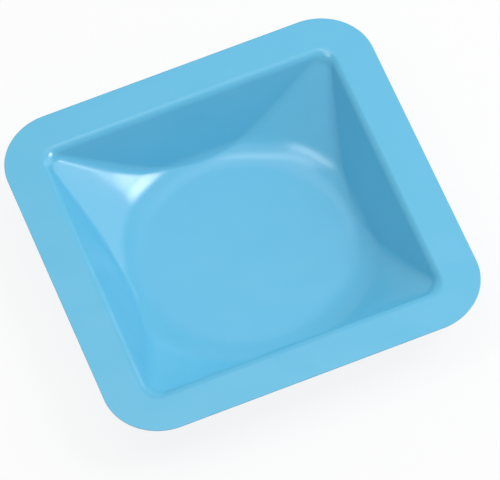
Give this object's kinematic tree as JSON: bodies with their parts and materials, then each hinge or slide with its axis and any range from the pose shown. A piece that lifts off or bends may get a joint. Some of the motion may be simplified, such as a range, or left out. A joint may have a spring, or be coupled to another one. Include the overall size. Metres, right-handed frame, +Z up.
{
  "type": "weighing boat",
  "caption": "Shallow square dish formed from one thin plastic sheet, with a flat rim, sloping walls and a floor rounded at its corners.",
  "frame": {"origin": "centre of the underside of the floor, which the boat stands on", "axes": "+Z up, out of the well; +X and +Y square to the rim's straight sides, and all four sides are alike"},
  "size_m": [0.14, 0.14, 0.0222],
  "materials": {
    "polystyrene": "satin light blue, thermoformed polystyrene sheet"
  },
  "bodies": {
    "root": {"weighing_boat": "polystyrene"}
  },
  "joints": []
}
